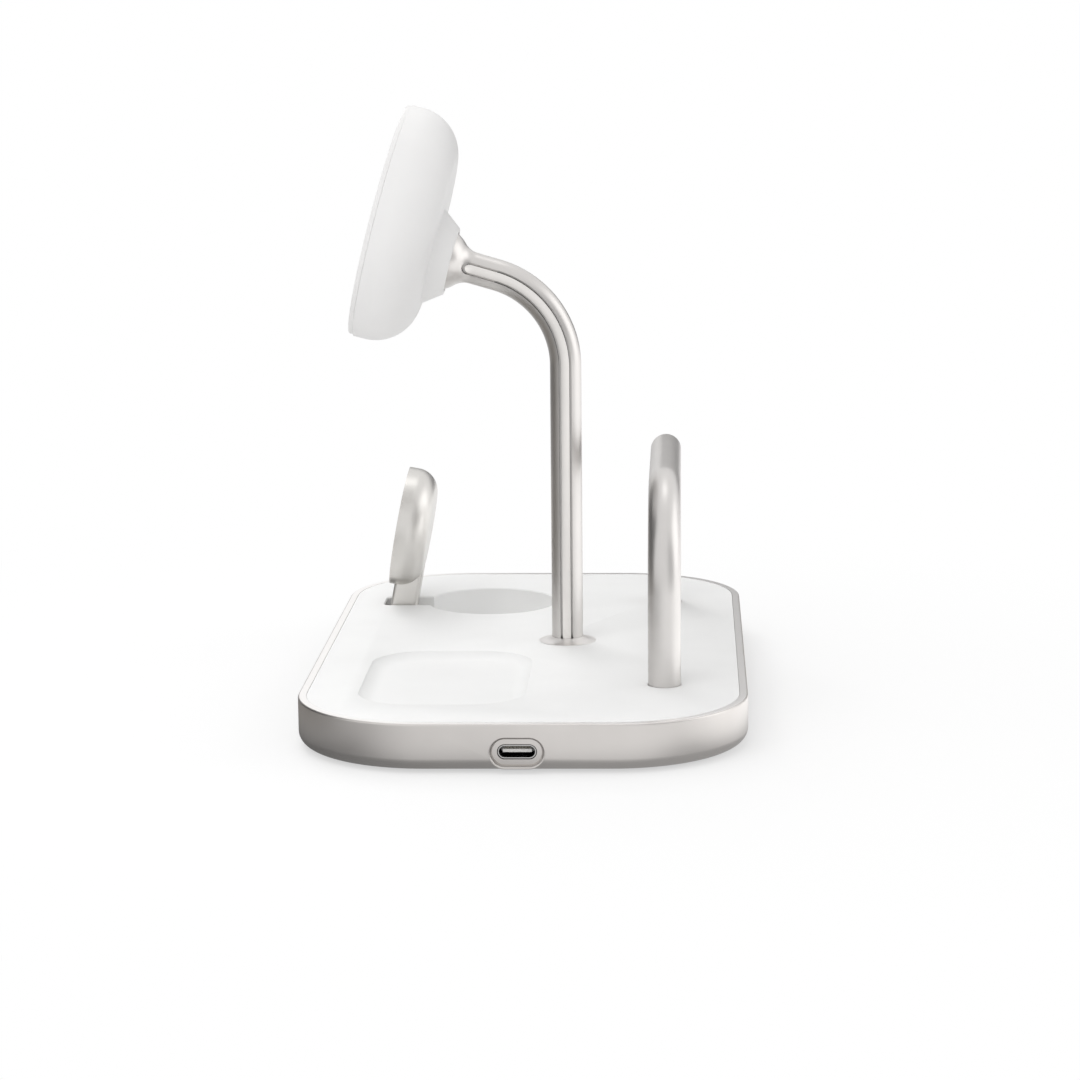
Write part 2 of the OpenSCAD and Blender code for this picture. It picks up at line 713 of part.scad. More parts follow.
module hinge_blocks() color("#9a9c9f") difference() {
    for (s = [-1, 1])
        translate([watch_x + s * block_x - block_l / 2, pin_y - block_w / 2, plate_z - block_drop])
            cube([block_l, block_w, block_drop]);
    translate([watch_x, pin_y, pin_z]) rotate([0, 90, 0])
        cylinder(r = pin_r + hair, h = 2 * block_x + 2 * block_l, center = true);
    at_block_screws() {
        cylinder(r = block_screw_r + run, h = block_drop + 1);
        translate([0, 0, -1]) cylinder(r = 2 * block_screw_r + run, h = 1 + block_head_h);
    }
}

module hinge_screws() color("#77797c") at_block_screws() {
    cylinder(r = block_screw_r, h = block_drop + block_screw_in - run);
    cylinder(r = 2 * block_screw_r, h = block_head_h);
}

// Phone head

module head_frame() translate(ball_at) rotate([90 - head_lean, 0, 0]) children();

module pad_frame() head_frame() translate([0, head_drop, 0]) children();

// Outline of the round shell of radius r: flat back at z0, round back edge, open front at z1
module shell_section(r, round_r, z0, z1) intersection() {
    union() {
        translate([0, z0]) square([r - round_r, z1 - z0]);
        translate([r - round_r, z0 + round_r]) circle(round_r, $fn = 96);
        translate([0, z0 + round_r]) square([r, z1 - z0 - round_r]);
    }
    translate([0, z0]) square([r, z1 - z0]);
}

module boss_section() {
    end_z = -ball_cover;
    polygon([[0, back_z + 2], [boss_base_r + 0.2, back_z + 2], [boss_base_r, back_z],
        [boss_end_r + 0.1, end_z + lip_r], [boss_end_r - lip_r, end_z], [0, end_z]]);
    translate([boss_end_r + 0.05 - lip_r, end_z + lip_r]) circle(lip_r);
}

module head_shell() color("#e2e2e1") difference() {
    union() {
        difference() {
            pad_frame() rotate_extrude() shell_section(head_r, head_round, back_z, face_z - head_cover_t);
            pad_frame() rotate_extrude() shell_section(head_r - head_wall, head_round - head_wall,
                back_z + head_wall, face_z);
        }
        head_frame() rotate_extrude() boss_section();
        head_frame() translate([0, 0, back_z]) cylinder(r = housing_r, h = housing_z - back_z);
        pad_frame() for (a = [30, 150, 270]) rotate([0, 0, a]) translate([post_at, 0, back_z + 1])
            cylinder(r = post_r, h = head_board_z - back_z - 1);
    }
    head_frame() {
        cylinder(r = cavity_ball_r, h = face_z);
        intersection() {
            sphere(cavity_ball_r);
            translate([-ball_r * 2, -ball_r * 2, -cavity_ball_r * cos(lip_a)])
                cube([4 * ball_r, 4 * ball_r, ball_r * 2]);
        }
        sphere(ball_r + run);
        translate([0, 0, -2 * ball_cover]) cylinder(r = mouth_r, h = 2 * ball_cover);
        for (a = [30 : 120 : 270]) rotate([0, 0, a]) translate([cap_screw_at, 0, housing_z - 4])
            cylinder(r = cap_screw_r + run, h = 5);
    }
}

module head_cover() color("#d9d9d8") pad_frame() difference() {
    translate([0, 0, face_z - head_cover_t]) cylinder(r = cover_r, h = head_cover_t);
    translate([0, 0, face_z - pad_sunk]) cylinder(r = pad_r + seat, h = 1);
}

module head_pad() color("#f6f6f5") pad_frame() translate([0, 0, face_z - pad_sunk])
    cylinder(r = pad_r, h = pad_sunk + pad_proud);

module head_magnets() color("#bfc1c4") pad_frame() {
    pitch = 360 / magnets;
    for (i = [0 : magnets - 1]) rotate([0, 0, i * pitch])
        translate([0, 0, face_z - head_cover_t - head_magnet_t])
            rotate_extrude(angle = pitch - magnet_gap_a) translate([magnet_in, 0])
                square([magnet_out - magnet_in, head_magnet_t]);
}

module head_coil() color("#b87333") pad_frame() translate([0, 0, face_z - head_cover_t - head_coil_t])
    coil(head_coil_r, head_coil_hole, head_coil_t);

module head_ferrite() color("#3c3c40")
    pad_frame() translate([0, 0, face_z - head_cover_t - head_coil_t - ferrite_t])
        cylinder(r = head_coil_r, h = ferrite_t);

module head_board() color("#2f6b45") pad_frame() difference() {
    translate([0, 0, head_board_z]) cylinder(r = head_board_r, h = board_t);
    translate([0, -head_drop, head_board_z - 1]) cylinder(r = 3, h = 3);
}

// A ring between the ball and its socket, between two angles about the ball's equator
module friction_ring() color("#f0efe9") head_frame() rotate_extrude() difference() {
    intersection() {
        circle(liner_r, $fn = 128);
        reach = 2 * ball_r;
        polygon([[0, 0], [reach * cos(ring_lo), reach * sin(ring_lo)],
            [reach * cos(ring_hi), reach * sin(ring_hi)]]);
    }
    circle(ball_r + run, $fn = 128);
}

module pressure_cup() color("#d9d4c8") head_frame() difference() {
    translate([0, 0, cup_lo]) cylinder(r = liner_r, h = cup_hi - cup_lo);
    sphere(ball_r + run, $fn = 128);
    cylinder(r = cup_hole, h = face_z);
}

module spring_washer() color("#a4a6a9") head_frame() translate([0, 0, cup_hi])
    coil(liner_r - 0.4, cup_hole + 1, spring_t);

module socket_cap() color("#8d8f92") head_frame() difference() {
    union() {
        translate([0, 0, housing_z]) cylinder(r = housing_r, h = cap_t);
        translate([0, 0, housing_z - cap_spigot]) cylinder(r = liner_r, h = cap_spigot + eps);
    }
    cylinder(r = cup_hole, h = face_z);
    for (a = [30 : 120 : 270]) rotate([0, 0, a]) translate([cap_screw_at, 0, housing_z - 1])
        cylinder(r = cap_screw_r + run, h = 4);
}

module cap_screws() color("#77797c") head_frame()
    for (a = [30 : 120 : 270]) rotate([0, 0, a]) translate([cap_screw_at, 0, housing_z]) {
        translate([0, 0, -3]) cylinder(r = cap_screw_r, h = 3 + cap_t + eps);
        translate([0, 0, cap_t]) cylinder(r = 1.1, h = 0.5);
    }

base_frame();
top_plate();
bottom_cover();
rubber_feet();
cover_screws();
chassis_plate();
ballast_plate();
main_board();
inlet_shell();
inlet_tongue();
earbud_coil();
earbud_ferrite();
stem();
stem_strip();
stem_collar();
stem_socket();
stem_screw();
head_lead();
tablet_loop();
leg_sockets();
leg_screws();
watch_housing();
watch_face();
watch_coil();
watch_magnet();
watch_ferrite();
hinge_pin();
hinge_blocks();
hinge_screws();
friction_ring();
pressure_cup();
head_shell();
head_cover();
head_pad();
head_magnets();
head_coil();
head_ferrite();
head_board();
spring_washer();
socket_cap();
cap_screws();
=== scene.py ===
import json
import math
import bmesh
import bpy
from mathutils import Matrix, Vector


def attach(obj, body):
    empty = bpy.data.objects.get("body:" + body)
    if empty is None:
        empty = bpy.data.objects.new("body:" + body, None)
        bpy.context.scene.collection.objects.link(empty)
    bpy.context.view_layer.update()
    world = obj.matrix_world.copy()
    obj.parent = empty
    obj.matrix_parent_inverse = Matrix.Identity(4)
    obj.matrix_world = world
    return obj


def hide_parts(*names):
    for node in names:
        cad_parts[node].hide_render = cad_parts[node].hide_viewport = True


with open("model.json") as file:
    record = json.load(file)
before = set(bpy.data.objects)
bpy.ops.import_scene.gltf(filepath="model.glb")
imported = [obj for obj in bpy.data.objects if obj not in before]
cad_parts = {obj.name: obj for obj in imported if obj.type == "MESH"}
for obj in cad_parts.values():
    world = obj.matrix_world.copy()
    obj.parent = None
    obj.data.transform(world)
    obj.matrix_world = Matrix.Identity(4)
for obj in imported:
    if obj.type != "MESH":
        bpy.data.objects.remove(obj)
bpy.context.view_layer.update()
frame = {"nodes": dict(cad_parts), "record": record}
nodes = frame["nodes"]
body_of = {node: body for body, members in frame["record"]["behaviour"]["bodies"].items() for node in members}

# Camera
# It stands beyond the inlet end of the base, a little above it, and looks along the base. The shift keeps
# the upright lines upright and frames the stand.
camera_data = bpy.data.cameras.new("camera")
camera = bpy.data.objects.new("camera", camera_data)
bpy.context.scene.collection.objects.link(camera)
bpy.context.scene.camera = camera
camera.location = (0.7614, 0.0382, 0.1802)
camera.rotation_euler = (math.radians(90 - 10.553), 0, math.radians(90))
camera_data.sensor_width = 36
camera_data.lens = 100.2
camera_data.shift_x = -0.132
camera_data.clip_start = 0.01

# Base frame
# One aluminium casting, blasted and anodised to a warm silver, with a narrow land on top that is cut bright.
# A ledge inside carries the top plate, and an oval recess with a raised lip takes the inlet.
base_length, base_width, base_corner = 180, 108, 32
base_foot_z, base_top_z, ledge_z = 0.8, 12, 10
under_round, land_round, land_width, wall = 3, 0.5, 2, 5
cover_rebate, cover_top_z = 3.6, 2.2
inlet_z, recess_width, recess_height, recess_depth = 5.2, 12.8, 7.2, 1.2
mouth_width, mouth_height, fit_gap = 8.94, 3.26, 0.16
end_x = base_length / 2
lip_stations = [(end_x - 2.8, 0.28), (end_x - 0.1, 0.28), (end_x + 0.03, 0.15)]
recess_stations = [(end_x - recess_depth, -0.62), (end_x - 0.8, -0.5), (end_x - 0.4, -0.34),
                   (end_x - 0.15, -0.16), (end_x, 0.02), (end_x + 1, 1.4)]
mouth_stations = [(end_x - wall - 1, fit_gap), (end_x, fit_gap)]
frame_silver, land_silver, land_gloss = (0.66, 0.633, 0.612), (0.98, 0.96, 0.945), 0.33


def new_piece(name, points, faces):
    """A mesh object from points in millimetres, with its faces turned outwards."""
    mesh = bpy.data.meshes.new(name)
    mesh.from_pydata([Vector(p) / 1000 for p in points], [], faces)
    bm = bmesh.new()
    bm.from_mesh(mesh)
    bmesh.ops.remove_doubles(bm, verts=bm.verts, dist=1e-7)
    bmesh.ops.recalc_face_normals(bm, faces=bm.faces)
    bm.to_mesh(mesh)
    bm.free()
    piece = bpy.data.objects.new(name, mesh)
    bpy.context.scene.collection.objects.link(piece)
    return piece


def skin(name, rings, closed=False):
    """A skin over rings with the same number of points, capped at both ends unless it closes on itself."""
    size = len(rings[0])
    faces = []
    for i in range(len(rings) - (0 if closed else 1)):
        near, far = i * size, (i + 1) % len(rings) * size
        for k in range(size):
            m = (k + 1) % size
            faces.append((near + k, near + m, far + m, far + k))
    if not closed:
        faces.append(range(size))
        faces.append(range((len(rings) - 1) * size, len(rings) * size))
    return new_piece(name, [p for ring in rings for p in ring], faces)


def arc(cx, cy, radius, start, end, steps=10):
    """Points along an arc, in degrees."""
    angles = [math.radians(start + (end - start) * i / steps) for i in range(steps + 1)]
    return [(cx + radius * math.cos(a), cy + radius * math.sin(a)) for a in angles]


def rounded_outline(length, width, radius, steps=28):
    """Points round a rectangle with round corners."""
    points = []
    for quarter, (sx, sy) in enumerate(((1, 1), (-1, 1), (-1, -1), (1, -1))):
        cx, cy = sx * (length / 2 - radius), sy * (width / 2 - radius)
        points += arc(cx, cy, radius, 90 * quarter, 90 * quarter + 90, steps)
    return points


def slab(name, length, width, corner, profile, closed=False, centre=(0, 0)):
    """A rounded slab whose edge follows a profile of (distance in from the edge, height) points."""
    rings = []
    for inset, z in profile:
        outline = rounded_outline(length - 2 * inset, width - 2 * inset, corner - inset)
        rings.append([(centre[0] + x, centre[1] + y, z) for x, y in outline])
    return skin(name, rings, closed)


def settle(piece):
    """Makes what a piece's modifiers show its own mesh."""
    depsgraph = bpy.context.evaluated_depsgraph_get()
    mesh = bpy.data.meshes.new_from_object(piece.evaluated_get(depsgraph), depsgraph=depsgraph)
    piece.modifiers.clear()
    piece.data = mesh


def carve(piece, tool, operation="DIFFERENCE"):
    """Cuts a tool out of a piece, or joins it on, and puts the tool away."""
    boolean = piece.modifiers.new("carve", "BOOLEAN")
    boolean.operation = operation
    boolean.solver = "EXACT"
    boolean.object = tool
    settle(piece)
    bpy.data.objects.remove(tool)


def break_edges(piece, width, segments=2, angle=32):
    """Rounds the sharp edges by a width in millimetres and shades the rest smooth."""
    piece.data.shade_smooth()
    piece.data.set_sharp_from_angle(angle=math.radians(angle))
    bevel = piece.modifiers.new("edges", "BEVEL")
    bevel.width = width / 1000
    bevel.segments = segments
    bevel.limit_method = "ANGLE"
    bevel.angle_limit = math.radians(angle)
    bevel.harden_normals = True
    settle(piece)


def mount(piece, node, material):
    """Gives a finished piece its material, and puts it in a CAD node's place on that node's body."""
    piece.data.materials.clear()
    piece.data.materials.append(material)
    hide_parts(node)
    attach(piece, body_of[node])


def stadium_rings(width, height, stations):
    """Rings of an oval that faces +X, at (x, growth) stations."""
    rings = []
    for x, grow in stations:
        w, h = width + 2 * grow, height + 2 * grow
        outline = rounded_outline(w, h, h / 2 - 1e-4, 16)
        rings.append([(x, y, inlet_z + z) for y, z in outline])
    return rings


def grained(name, colour, tones, cloud, grain, relief, roughness, gloss_follows):
    """A material whose tone wanders between two shares of a colour over a cloud noise, with a fine grain
    noise in relief. Its roughness follows one of the two, from its first value to its second. The noises
    are (scale, detail), the relief is (strength, metres)."""
    material = bpy.data.materials.new(name)
    material.use_nodes = True
    tree = material.node_tree
    link = tree.links.new
    shader = tree.nodes["Principled BSDF"]
    place = tree.nodes.new("ShaderNodeTexCoord")
    noises = {}
    for kind, (scale, detail) in (("cloud", cloud), ("grain", grain)):
        noise = tree.nodes.new("ShaderNodeTexNoise")
        noise.inputs["Scale"].default_value = scale
        noise.inputs["Detail"].default_value = detail
        link(place.outputs["Object"], noise.inputs["Vector"])
        noises[kind] = noise.outputs["Fac"]
    ramp = tree.nodes.new("ShaderNodeValToRGB")
    for stop, position, share in zip(ramp.color_ramp.elements, (0.3, 0.7), tones):
        stop.position = position
        stop.color = (*[min(1, c * share) for c in colour], 1)
    gloss = tree.nodes.new("ShaderNodeMapRange")
    gloss.inputs["To Min"].default_value, gloss.inputs["To Max"].default_value = roughness
    bump = tree.nodes.new("ShaderNodeBump")
    bump.inputs["Strength"].default_value, bump.inputs["Distance"].default_value = relief
    link(noises["cloud"], ramp.inputs["Fac"])
    link(ramp.outputs["Color"], shader.inputs["Base Color"])
    link(noises[gloss_follows], gloss.inputs["Value"])
    link(gloss.outputs["Result"], shader.inputs["Roughness"])
    link(noises["grain"], bump.inputs["Height"])
    link(bump.outputs["Normal"], shader.inputs["Normal"])
    return material


def blasted_metal(name, colour, roughness, blast=1.0):
    """Aluminium or steel with a fine blasted grain, clouded a little in tone and gloss."""
    material = grained(name, colour, tones=(0.955, 1.035), cloud=(55, 3), grain=(3600, 2),
                       relief=(0.22 * blast, 0.00003), roughness=(roughness - 0.035, roughness + 0.035),
                       gloss_follows="cloud")
    material.node_tree.nodes["Principled BSDF"].inputs["Metallic"].default_value = 1
    return material


def cut_or_painted_shade(material, colour, roughness=None):
    """Gives a metal another colour or gloss where the piece's own attribute marks it: a face cut bright, or
    painted shade.
    """
    tree = material.node_tree
    shader = tree.nodes["Principled BSDF"]
    where = tree.nodes.new("ShaderNodeAttribute")
    where.attribute_name = "cut_or_painted_shade"
    shade = tree.nodes.new("ShaderNodeMix")
    shade.data_type = "RGBA"
    shade.inputs["B"].default_value = (*colour, 1)
    tree.links.new(where.outputs["Fac"], shade.inputs["Factor"])
    tree.links.new(shader.inputs["Base Color"].links[0].from_socket, shade.inputs["A"])
    tree.links.new(shade.outputs["Result"], shader.inputs["Base Color"])
    if roughness is not None:
        gloss = tree.nodes.new("ShaderNodeMix")
        gloss.inputs["B"].default_value = roughness
        tree.links.new(where.outputs["Fac"], gloss.inputs["Factor"])
        tree.links.new(shader.inputs["Roughness"].links[0].from_socket, gloss.inputs["A"])
        tree.links.new(gloss.outputs["Result"], shader.inputs["Roughness"])
    return material


def mark_cut_or_painted_shade(piece, where):
    """Marks the faces of a piece for which a test of their centre (in millimetres) and normal holds."""
    marks = piece.data.attributes.new("cut_or_painted_shade", "FLOAT", "FACE")
    marks.data.foreach_set("value", [float(where(polygon.center * 1000, polygon.normal))
                                     for polygon in piece.data.polygons])


under_arc = arc(under_round, base_foot_z + under_round, under_round, 270, 180, 14)
land_arc = arc(land_round, base_top_z - land_round, land_round, 180, 90, 6)
frame_profile = [(cover_rebate, cover_top_z), (cover_rebate, base_foot_z), *under_arc, *land_arc,
                 (land_width, base_top_z), (land_width, ledge_z), (wall, ledge_z), (wall, cover_top_z)]
base_frame = slab("frame_ring", base_length, base_width, base_corner, frame_profile, closed=True)
carve(base_frame, skin("lip", stadium_rings(recess_width, recess_height, lip_stations)), "UNION")
carve(base_frame, skin("recess", stadium_rings(recess_width, recess_height, recess_stations)))
carve(base_frame, skin("mouth", stadium_rings(mouth_width, mouth_height, mouth_stations)))
break_edges(base_frame, 0.12)
mark_cut_or_painted_shade(base_frame, lambda p, normal: normal.z > 0.97 and p.z > base_top_z - 0.01)
mount(base_frame, "base_frame",
      cut_or_painted_shade(blasted_metal("frame_metal", frame_silver, 0.36), land_silver, land_gloss))

# Charging inlet
# The usual oval socket, soldered to the board: a drawn steel mouth, 8.94 mm wide, round a pale moulded
# tongue with a row of plated contacts on each side. Its lower inside is painted near-black as shade.
mouth_x = end_x - recess_depth
shell_wall, shell_length = 0.3, 7.3
tongue_width, tongue_height, tongue_length, tongue_root = 6.7, 0.7, 3.7, 1.4
contact_pitch, contact_width, contact_height, contact_count = 0.5, 0.26, 0.06, 12
contact_back, contact_front = 0.3, 0.7
shade_from, shade_below = 0.3, 0.3
mouth_silver, mouth_shade = (0.60, 0.595, 0.59), (0.05, 0.05, 0.05)
tongue_pale, contact_plating = (0.80, 0.79, 0.77), (0.72, 0.66, 0.52)
back_x = mouth_x - shell_length
inlet_mouth = skin("inlet_mouth", stadium_rings(mouth_width, mouth_height, [
    (back_x, 0), (mouth_x - 0.1, 0), (mouth_x - 0.03, -0.03), (mouth_x, -0.1), (mouth_x, -0.2),
    (mouth_x - 0.03, -0.27), (mouth_x - 0.1, -shell_wall), (back_x + 1, -shell_wall)]))
for polygon in inlet_mouth.data.polygons:
    polygon.use_smooth = len(polygon.vertices) == 4
# The mouth's lower inside, behind its edge, is painted near-black as shade.
mark_cut_or_painted_shade(inlet_mouth, lambda p, normal: (normal.z * (p.z - inlet_z) + normal.y * p.y < 0
                                              and p.x < mouth_x - shade_from and p.z < inlet_z + shade_below))
mount(inlet_mouth, "inlet_shell",
      cut_or_painted_shade(blasted_metal("inlet_steel", mouth_silver, 0.28, 0.5), mouth_shade))


def box_points(x0, x1, y0, y1, z0, z1):
    """The eight corners and the six faces of a box."""
    points = [(x, y, z) for x in (x0, x1) for y in (y0, y1) for z in (z0, z1)]
    return points, [(0, 1, 3, 2), (4, 6, 7, 5), (0, 4, 5, 1), (2, 3, 7, 6), (0, 2, 6, 4), (1, 5, 7, 3)]


def moulding(name, colour, roughness, texture=1.0, mottle=0.012):
    """Moulded plastic: a very fine spark-eroded texture and a barely clouded tone."""
    material = grained(name, colour, tones=(1 - mottle, 1 + mottle), cloud=(70, 4), grain=(4200, 3),
                       relief=(0.3 * texture, 0.00004), roughness=(roughness - 0.05, roughness + 0.05),
                       gloss_follows="grain")
    material.node_tree.nodes["Principled BSDF"].inputs["IOR"].default_value = 1.46
    return material


root_front_x = back_x + 1 + tongue_root
tongue_front_x = root_front_x + tongue_length
tongue = new_piece("inlet_tongue_pale", *box_points(
    root_front_x - 0.5, tongue_front_x, -tongue_width / 2, tongue_width / 2,
    inlet_z - tongue_height / 2, inlet_z + tongue_height / 2))
carve(tongue, skin("root", stadium_rings(mouth_width, mouth_height, [
    (root_front_x - tongue_root, -shell_wall), (root_front_x, -shell_wall)])), "UNION")
break_edges(tongue, 0.15)
mount(tongue, "inlet_tongue", moulding("tongue_pale", tongue_pale, 0.35))
contact_points, contact_faces = [], []
for i in range(contact_count):
    y = (i - (contact_count - 1) / 2) * contact_pitch
    for side in (-1, 1):
        z = inlet_z + side * tongue_height / 2
        points, faces = box_points(root_front_x + contact_back, tongue_front_x - contact_front,
                                   y - contact_width / 2, y + contact_width / 2,
                                   z - contact_height / 2, z + contact_height / 2)
        contact_faces += [[len(contact_points) + k for k in face] for face in faces]
        contact_points += points
contacts = new_piece("inlet_contacts", contact_points, contact_faces)
contacts.data.materials.append(blasted_metal("contact_plating", contact_plating, 0.25, 0.3))
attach(contacts, body_of["inlet_tongue"])

# Top plate
# One matte white moulding, dropped into the frame with a hairline gap. It has a shallow dish for an earbud
# case, a deep round well with a slot for the folded watch puck, and round holes for the rods.
plate_inset, plate_round = 2.05, 0.15
dish_centre, dish_length, dish_width, dish_corner = (41.6, -19.6), 57.6, 40, 13
dish_depth, dish_hollow, rim_break = 2, 5, 0.3
pan_wall, pan_inset = 1, 1.5
watch_x, hinge_y, hinge_z = -50, -38.9, 8
well_y, well_radius, well_floor_z, well_wall = -14.1, 17.5, 4, 1.2
slot_half, slot_front_y, slot_corner = 5.6, -43.5, 1.5
rod_hole, hole_top_z = 4.15, 20
stem_y, leg_x, leg_y = 8.4, 49.8, 33.8
plate_white = (0.83, 0.83, 0.825)


def well_outline(grow):
    """The round well with the slot that leads forward from it, as one outline."""
    radius, half = well_radius + grow, slot_half + grow
    corner, front = slot_corner + grow, slot_front_y - grow
    opening = math.degrees(math.asin(half / radius))
    outline = arc(watch_x, well_y, radius, -90 + opening, 270 - opening, 96)
    outline += arc(watch_x - half + corner, front + corner, corner, 180, 270, 8)
    outline += arc(watch_x + half - corner, front + corner, corner, 270, 360, 8)
    return outline


def round_bar(name, centre, radius, z0, z1, steps=72):
    """An upright round bar."""
    outline = arc(*centre, radius, 0, 360, steps)[:-1]
    return skin(name, [[(x, y, z) for x, y in outline] for z in (z0, z1)])


plate_edge = arc(plate_round, base_top_z - plate_round, plate_round, 180, 90, 4)
top_plate = slab("plate_white", base_length - 2 * plate_inset, base_width - 2 * plate_inset,
                 base_corner - plate_inset, [(0, ledge_z), *plate_edge])
dish_floor_z = base_top_z - dish_depth
carve(top_plate, slab("pan", dish_length - 2 * pan_inset, dish_width - 2 * pan_inset, dish_corner - pan_inset,
                      [(0, dish_floor_z - pan_wall), (0, base_top_z - 1)], centre=dish_centre), "UNION")
carve(top_plate, skin("well_pan", [[(x, y, z) for x, y in well_outline(well_wall)]
                                   for z in (well_floor_z - pan_wall, base_top_z - 1)]), "UNION")
hollow_end = math.degrees(math.acos((dish_hollow - dish_depth + rim_break) / dish_hollow))
hollow_reach = dish_hollow * math.sin(math.radians(hollow_end))
hollow_arc = [(hollow_reach - dish_hollow * math.sin(math.radians(a)),
               dish_floor_z + dish_hollow * (1 - math.cos(math.radians(a))))
              for a in (0, 4, 9, 15, 21, 27, 33, 38, 42, 46, hollow_end)]
dish_profile = [(hollow_reach + 1.5, dish_floor_z), (hollow_reach + 0.6, dish_floor_z), *hollow_arc,
                (-rim_break * 0.3, base_top_z - 0.1), (-rim_break, base_top_z),
                (-rim_break - 1, base_top_z + 1)]
carve(top_plate, slab("dish", dish_length, dish_width, dish_corner, dish_profile, centre=dish_centre))
well_stations = [(well_floor_z, -0.6), (well_floor_z + 0.15, -0.2), (well_floor_z + 0.6, 0),
                 (base_top_z - rim_break, 0), (base_top_z, rim_break), (base_top_z + 1, rim_break + 1)]
carve(top_plate, skin("well", [[(x, y, z) for x, y in well_outline(grow)] for z, grow in well_stations]))
for centre in ((0, stem_y), (-leg_x, leg_y), (leg_x, leg_y)):
    carve(top_plate, round_bar("hole", centre, rod_hole, 0, hole_top_z))
break_edges(top_plate, 0.05)
mount(top_plate, "top_plate", moulding("plate_white", plate_white, 0.55))

# Stem
# One solid aluminium rod, bent over a mandrel and polished to a satin, with a groove milled along one side
# and a ball turned at its upper end, behind a hollow flare. A screw from below holds its foot.
rod_radius, bend_radius, foot_z = 4, 24, 3.5
bend_start_z, lean_sine, lean_cosine = 83.65, 0.96, 0.28
neck_length, ball_radius, flare_radius = 15.5, 8, 5
rod_steps, bend_steps, flare_steps, ball_steps = 96, 64, 16, 40
groove_half, groove_floor_x, groove_foot_z, groove_past_flare = 1.6, 1.9, 8.5, 1.2
rod_silver = (0.645, 0.625, 0.608)
painted_groove_shade = (0.05, 0.048, 0.045)
bend_centre = Vector((0, stem_y - bend_radius, bend_start_z))
bend_angle = math.atan2(lean_sine, lean_cosine)
neck_start = bend_centre + bend_radius * Vector((0, lean_cosine, lean_sine))
neck_way = Vector((0, -lean_sine, lean_cosine))
ball_centre = neck_start + neck_length * neck_way
flare_far = math.sqrt((ball_radius + flare_radius) ** 2 - (rod_radius + flare_radius) ** 2)


def rod_tree():
    """Geometry nodes that draw a round rod along a line of points, each with its own radius."""
    tree = bpy.data.node_groups.new("drawn_rod", "GeometryNodeTree")
    face = tree.interface
    face.new_socket("Geometry", in_out="INPUT", socket_type="NodeSocketGeometry")
    steps = face.new_socket("Round Steps", in_out="INPUT", socket_type="NodeSocketInt")
    material = face.new_socket("Metal", in_out="INPUT", socket_type="NodeSocketMaterial")
    face.new_socket("Geometry", in_out="OUTPUT", socket_type="NodeSocketGeometry")
    start = tree.nodes.new("NodeGroupInput")
    end = tree.nodes.new("NodeGroupOutput")
    line = tree.nodes.new("GeometryNodeMeshToCurve")
    thickness = tree.nodes.new("GeometryNodeInputNamedAttribute")
    thickness.inputs["Name"].default_value = "rod_radius"
    circle = tree.nodes.new("GeometryNodeCurvePrimitiveCircle")
    circle.inputs["Radius"].default_value = 1
    draw = tree.nodes.new("GeometryNodeCurveToMesh")
    draw.inputs["Fill Caps"].default_value = True
    close = tree.nodes.new("GeometryNodeMergeByDistance")
    close.inputs["Distance"].default_value = 1e-7
    real = tree.nodes.new("GeometryNodeRealizeInstances")
    coat = tree.nodes.new("GeometryNodeSetMaterial")
    link = tree.links.new
    link(start.outputs["Geometry"], line.inputs["Mesh"])
    link(line.outputs["Curve"], draw.inputs["Curve"])
    link(thickness.outputs["Attribute"], draw.inputs["Scale"])
    link(start.outputs["Round Steps"], circle.inputs["Resolution"])
    link(circle.outputs["Curve"], draw.inputs["Profile Curve"])
    link(draw.outputs["Mesh"], close.inputs["Geometry"])
    link(close.outputs["Geometry"], real.inputs["Geometry"])
    link(real.outputs["Geometry"], coat.inputs["Geometry"])
    link(start.outputs["Metal"], coat.inputs["Material"])
    link(coat.outputs["Geometry"], end.inputs["Geometry"])
    return tree, steps.identifier, material.identifier


rod_group, steps_input, metal_input = rod_tree()


def draw_rod(name, stations, metal):
    """A rod along (point, radius) stations in millimetres."""
    mesh = bpy.data.meshes.new(name)
    mesh.from_pydata([p / 1000 for p, r in stations], [(i, i + 1) for i in range(len(stations) - 1)], [])
    radius = mesh.attributes.new("rod_radius", "FLOAT", "POINT")
    radius.data.foreach_set("value", [r / 1000 for p, r in stations])
    rod = bpy.data.objects.new(name, mesh)
    bpy.context.scene.collection.objects.link(rod)
    drawn = rod.modifiers.new("draw", "NODES")
    drawn.node_group = rod_group
    drawn[steps_input] = rod_steps
    drawn[metal_input] = metal
    settle(rod)
    return rod


def bend_line(radius):
    """Points round the stem's bend, from the riser to the neck, at a distance from the bend's centre."""
    turn = [bend_angle * i / bend_steps for i in range(bend_steps + 1)]
    return [bend_centre + radius * Vector((0, math.cos(a), math.sin(a))) for a in turn]


stem_metal = cut_or_painted_shade(blasted_metal("rod_metal", rod_silver, 0.34, 0.7), painted_groove_shade)
stations = [(Vector((0, stem_y, foot_z)), rod_radius)]
stations += [(p, rod_radius) for p in bend_line(bend_radius)]
flare_start = neck_length - flare_far
flare_turn = math.degrees(math.atan2(flare_far, rod_radius + flare_radius))
for a in (flare_turn * i / flare_steps for i in range(flare_steps + 1)):
    s = flare_start + flare_radius * math.sin(math.radians(a))
    stations.append((neck_start + s * neck_way, rod_radius + flare_radius * (1 - math.cos(math.radians(a)))))
ball_turn = 90 - flare_turn
for a in (ball_turn + (180 - ball_turn) * i / ball_steps for i in range(1, ball_steps + 1)):
    s = neck_length - ball_radius * math.cos(math.radians(a))
    stations.append((neck_start + s * neck_way, ball_radius * math.sin(math.radians(a))))
stem = draw_rod("stem_rod", stations, stem_metal)


